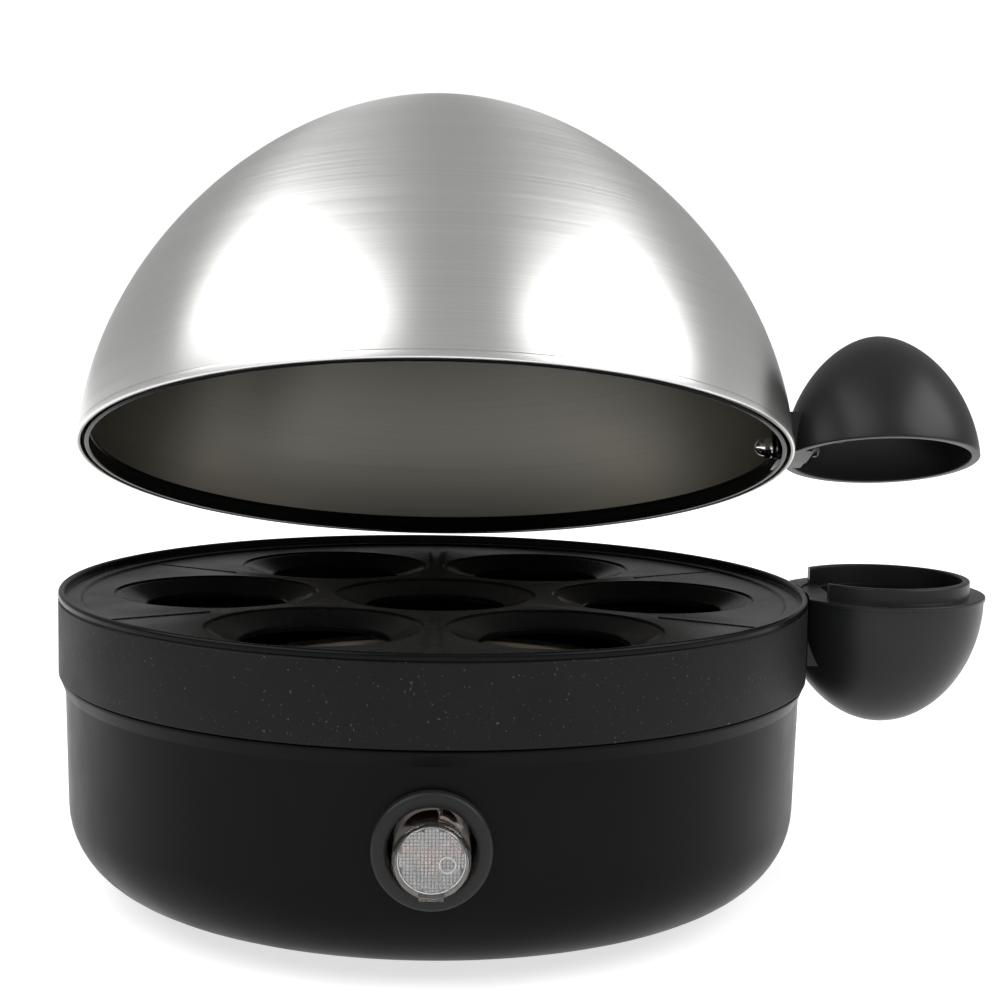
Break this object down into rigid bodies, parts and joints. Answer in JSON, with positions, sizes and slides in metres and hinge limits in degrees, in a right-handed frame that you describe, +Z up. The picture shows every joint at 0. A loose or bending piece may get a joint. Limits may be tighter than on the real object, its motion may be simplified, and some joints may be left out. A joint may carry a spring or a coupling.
{
  "type": "egg cooker",
  "caption": "Round electric egg cooker: black base with a push switch, egg tray ring, domed steel lid held open, and an egg-shaped side handle in two halves.",
  "frame": {"origin": "middle of the flat pad under the base, 2.2 mm above the surface that the four feet stand on", "axes": "+Z up along the base's round axis; +X towards the side handle; -Y towards the power switch; +Y towards the mains inlet"},
  "size_m": [0.2344, 0.1964, 0.1998],
  "materials": {
    "base_black": "satin black moulded plastic",
    "tray_black": "semi-gloss black moulded plastic",
    "handle_black": "satin black moulded plastic",
    "lid_steel": "steel brushed round the dome",
    "plate_steel": "pressed steel dish",
    "bright_metal": "plated screws, nuts and spring",
    "sheet_metal": "plain sheet and cast metal",
    "foot_rubber": "black rubber",
    "seal_silicone": "grey silicone",
    "clear_plastic": "clear prismatic plastic",
    "neon_glass": "orange neon lamp",
    "nylon": "white nylon",
    "wire_brown": "brown insulation",
    "wire_blue": "blue insulation"
  },
  "bodies": {
    "base": {"base_shell": "base_black", "base_deck": "tray_black", "foot_1": "foot_rubber", "foot_2": "foot_rubber", "foot_3": "foot_rubber", "foot_4": "foot_rubber", "deck_screw_1": "bright_metal", "deck_screw_2": "bright_metal", "deck_screw_3": "bright_metal", "deck_screw_4": "bright_metal", "heating_plate": "plate_steel", "plate_seal": "seal_silicone", "plate_bracket": "sheet_metal", "bracket_nut": "bright_metal", "thermostat": "nylon", "thermostat_clip": "sheet_metal", "thermal_fuse": "sheet_metal", "heating_element": "sheet_metal", "switch_bezel": "tray_black", "switch_body": "tray_black", "neon_lamp": "neon_glass", "switch_spring": "bright_metal", "cord_gland": "foot_rubber", "terminal_block": "nylon", "wire_live": "wire_brown", "wire_lamp": "wire_blue", "wire_load": "wire_brown", "wire_neutral": "wire_blue"},
    "egg_tray": {"egg_tray": "tray_black", "tray_handle": "handle_black", "tray_handle_screw_1": "bright_metal", "tray_handle_screw_2": "bright_metal"},
    "lid": {"lid_dome": "lid_steel", "lid_ring": "tray_black", "lid_handle": "handle_black", "lid_handle_bracket": "handle_black", "lid_handle_screw": "bright_metal", "lid_acorn_nut": "bright_metal"},
    "button": {"button_cap": "clear_plastic", "button_plunger": "nylon"}
  },
  "joints": [
    {"name": "tray_lift", "type": "slide", "parent": "base", "child": "egg_tray", "axis": [0, 0, 1], "range_m": [0, 0.06]},
    {"name": "lid_tilt", "type": "hinge", "parent": "egg_tray", "child": "lid", "pos_m": [0, 0.097, 0.0722], "axis": [-1, 0, 0], "range_deg": [-19.5, 85.5]},
    {"name": "button_press", "type": "slide", "parent": "base", "child": "button", "axis": [0, 1, 0], "range_m": [0, 0.003], "stiffness_N_per_m": 400, "deforming": ["switch_spring"]}
  ]
}
